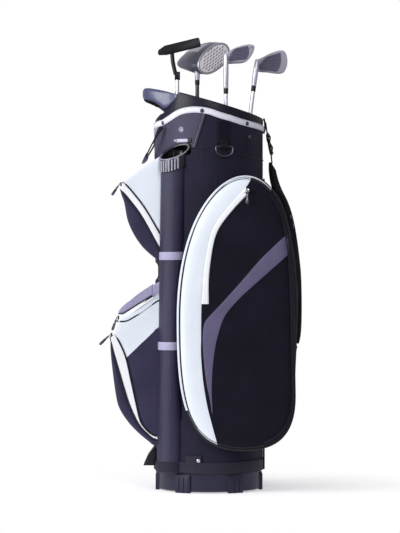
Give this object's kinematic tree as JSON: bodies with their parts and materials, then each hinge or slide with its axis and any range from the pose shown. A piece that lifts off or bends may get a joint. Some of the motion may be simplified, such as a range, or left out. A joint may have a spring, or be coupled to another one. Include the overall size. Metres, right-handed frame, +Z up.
{
  "type": "golf club set",
  "caption": "Golf cart bag with moulded base and cuff, external putter tube, zipped side and front pockets, shoulder strap, and a driver, irons and a putter that lift out.",
  "frame": {"origin": "centre of the base's underside, on the ground", "axes": "+Z up, -Y towards the front with the lift handle and ball pockets, +X towards the putter tube and towel loop"},
  "size_m": [0.3536, 0.4503, 1.0095],
  "materials": {
    "charcoal_fabric": "woven polyester, charcoal",
    "black_fabric": "woven nylon, black",
    "white_fabric": "coated fabric, smooth satin, white",
    "grey_fabric": "coated fabric, grey",
    "trim_tape": "woven edge tape, white",
    "webbing": "woven webbing, black",
    "padding": "soft padded fabric, black",
    "moulded_plastic": "fine moulded grain",
    "gloss_plastic": "satin gloss",
    "dark_plastic": "satin",
    "driver_shell": "satin crown, brushed face",
    "graphite": "polished dark",
    "steel": "polished shaft steel",
    "chrome": "polished",
    "gunmetal": "dark plated",
    "grip_rubber": "matt, fine grain"
  },
  "bodies": {
    "bag": {"base": "moulded_plastic", "body_shell": "charcoal_fabric", "hem_band": "black_fabric", "spine_strip": "webbing", "cuff": "moulded_plastic", "cuff_handle": "gloss_plastic", "trim_band": "trim_tape", "divider_grid": "padding", "divider_sheet_front": "webbing", "divider_sheet_middle": "webbing", "putter_tube": "charcoal_fabric", "putter_mouth": "gloss_plastic", "tube_band_upper": "grey_fabric", "tube_band_lower": "grey_fabric", "front_badge": "chrome", "name_plate": "chrome", "hood_snap_front": "gunmetal", "hood_snap_middle": "gunmetal", "hood_snap_rear": "gunmetal", "towel_tab": "webbing", "right_pocket": "black_fabric", "right_pocket_panel": "white_fabric", "left_pocket": "black_fabric", "left_pocket_panel": "white_fabric", "upper_pocket": "white_fabric", "ball_pocket": "black_fabric", "foot_grab": "dark_plastic", "strap_webbing": "webbing", "shoulder_pad": "padding", "strap_lower_webbing": "webbing", "strap_adjuster": "moulded_plastic"},
    "lid": {"cooler_lid": "grey_fabric"},
    "zip_slider": {"inner_zip_slider": "chrome"},
    "slider_pull": {"inner_zip_pull": "chrome"},
    "right_pull": {"right_zip_pull": "gunmetal"},
    "left_pull": {"left_zip_pull": "gunmetal"},
    "upper_pull": {"upper_zip_pull": "chrome"},
    "lid_pull": {"lid_zip_pull": "chrome"},
    "ball_pull": {"ball_zip_pull": "chrome"},
    "grab_handle": {"grab_strap": "webbing", "grab_strap_grip": "grey_fabric"},
    "towel_loop": {"towel_ring": "gunmetal"},
    "putter": {"putter_grip": "grip_rubber", "putter_shaft": "steel", "putter_head": "gunmetal"},
    "driver": {"driver_grip": "grip_rubber", "driver_shaft": "graphite", "driver_ferrule": "dark_plastic", "driver_head": "driver_shell"},
    "iron": {"iron_grip": "grip_rubber", "iron_shaft": "steel", "iron_ferrule": "dark_plastic", "iron_head": "chrome"},
    "wedge": {"wedge_grip": "grip_rubber", "wedge_shaft": "steel", "wedge_ferrule": "dark_plastic", "wedge_head": "chrome"}
  },
  "joints": [
    {"name": "putter_lift", "type": "slide", "parent": "bag", "child": "putter", "axis": [0, 0, 1], "range_m": [0, 0.9]},
    {"name": "driver_lift", "type": "slide", "parent": "bag", "child": "driver", "axis": [0, 0, 1], "range_m": [0, 0.9]},
    {"name": "iron_lift", "type": "slide", "parent": "bag", "child": "iron", "axis": [0, 0, 1], "range_m": [0, 0.9]},
    {"name": "wedge_lift", "type": "slide", "parent": "bag", "child": "wedge", "axis": [0, 0.1219, 0.9925], "range_m": [0, 0.9]},
    {"name": "cooler_lid_hinge", "type": "hinge", "parent": "bag", "child": "lid", "pos_m": [0, -0.126, 0.463], "axis": [-1, 0, 0], "range_deg": [0, 90]},
    {"name": "grab_handle_swing", "type": "hinge", "parent": "bag", "child": "grab_handle", "pos_m": [0, -0.099, 0.812], "axis": [-1, 0, 0], "range_deg": [0, 45]},
    {"name": "towel_loop_swing", "type": "hinge", "parent": "bag", "child": "towel_loop", "pos_m": [0.12408, 0.0334, 0.76], "axis": [0.26, -0.9656, 0], "range_deg": [0, 80]},
    {"name": "inner_zip_run", "type": "hinge", "parent": "bag", "child": "zip_slider", "pos_m": [0.1746, 0.2697, 0.4608], "axis": [1, 0, 0], "range_deg": [0, 54]},
    {"name": "inner_pull_swing", "type": "hinge", "parent": "zip_slider", "child": "slider_pull", "pos_m": [0.1788, 0.082, 0.658], "axis": [1, 0, 0], "range_deg": [-60, 60]},
    {"name": "right_pull_swing", "type": "hinge", "parent": "bag", "child": "right_pull", "pos_m": [0.108, 0.183, 0.607], "axis": [1, 0, 0], "range_deg": [0, 70]},
    {"name": "left_pull_swing", "type": "hinge", "parent": "bag", "child": "left_pull", "pos_m": [-0.108, 0.183, 0.607], "axis": [1, 0, 0], "range_deg": [0, 70]},
    {"name": "upper_pull_swing", "type": "hinge", "parent": "bag", "child": "upper_pull", "pos_m": [0.05, -0.199, 0.681], "axis": [-1, 0, 0], "range_deg": [0, 70]},
    {"name": "lid_pull_swing", "type": "hinge", "parent": "bag", "child": "lid_pull", "pos_m": [0.056, -0.2045, 0.385], "axis": [-1, 0, 0], "range_deg": [0, 60]},
    {"name": "ball_pull_swing", "type": "hinge", "parent": "bag", "child": "ball_pull", "pos_m": [0.062, -0.2195, 0.347], "axis": [-1, 0, 0], "range_deg": [0, 60]}
  ]
}
